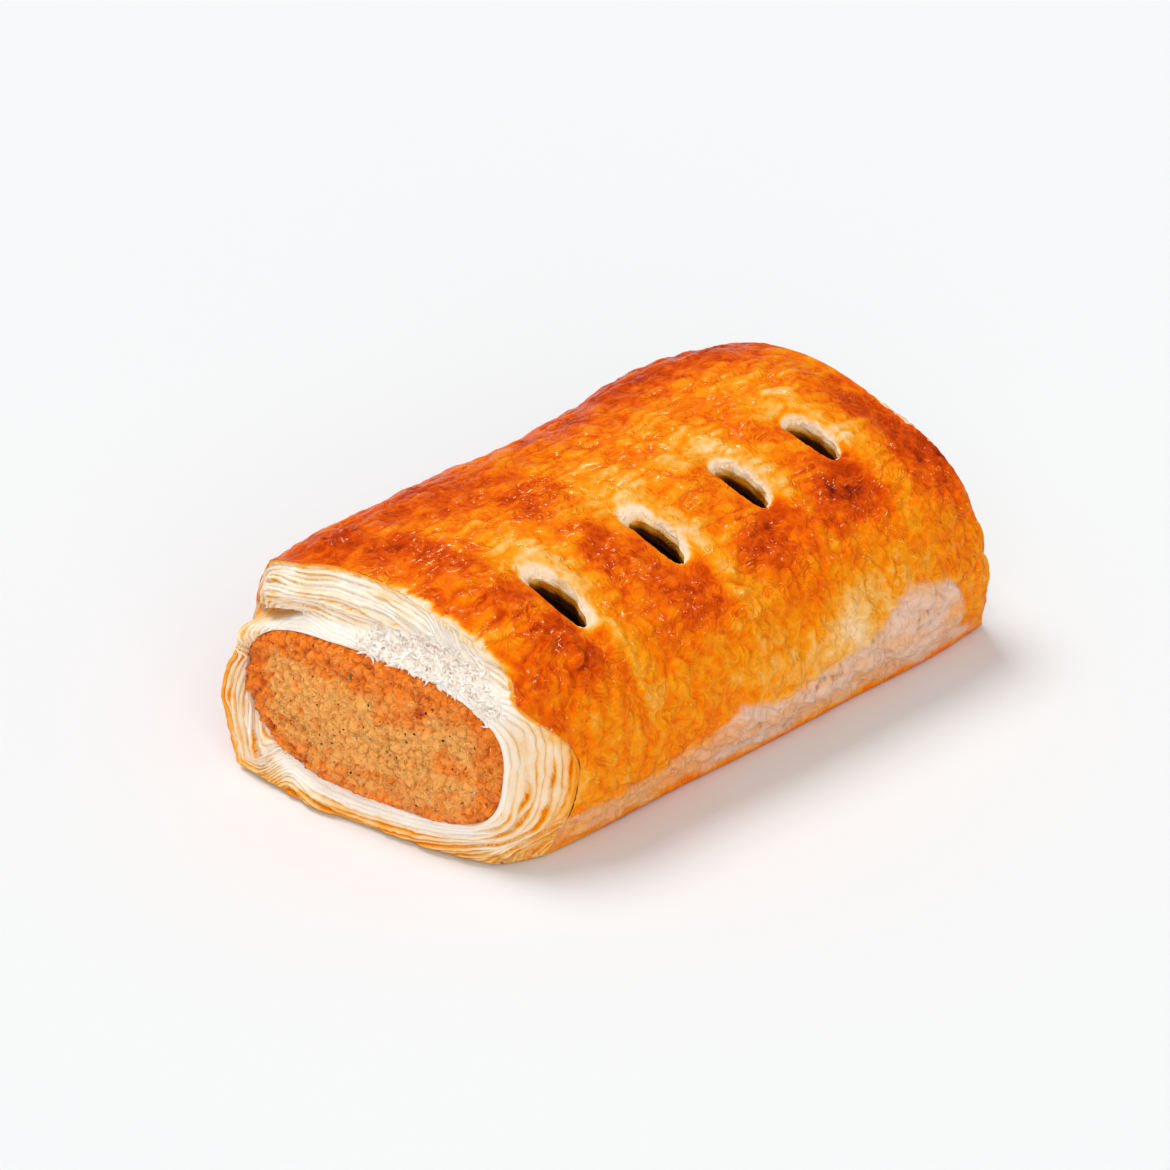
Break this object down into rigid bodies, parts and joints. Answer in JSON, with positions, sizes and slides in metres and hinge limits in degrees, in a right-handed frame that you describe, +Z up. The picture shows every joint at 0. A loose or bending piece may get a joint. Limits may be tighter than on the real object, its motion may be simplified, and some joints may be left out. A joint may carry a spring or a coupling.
{
  "type": "sausage roll",
  "caption": "Wide golden puff pastry roll with steam slits along its top, open at the ends to show layered pastry around a flat core of seasoned sausage meat.",
  "frame": {"origin": "bottom centre of the bounding box, on the surface the roll rests on", "axes": "+X along the roll from the near cut end to the far end, +Y to the folded side, +Z up"},
  "size_m": [0.132, 0.08, 0.0478],
  "materials": {
    "pastry": "baked puff pastry: egg-glazed golden brown crust, pale cream flaky layers at the cuts",
    "filling": "moist cooked sausage meat with pepper and herb specks"
  },
  "bodies": {
    "root": {"pastry": "pastry", "filling": "filling"}
  },
  "joints": []
}
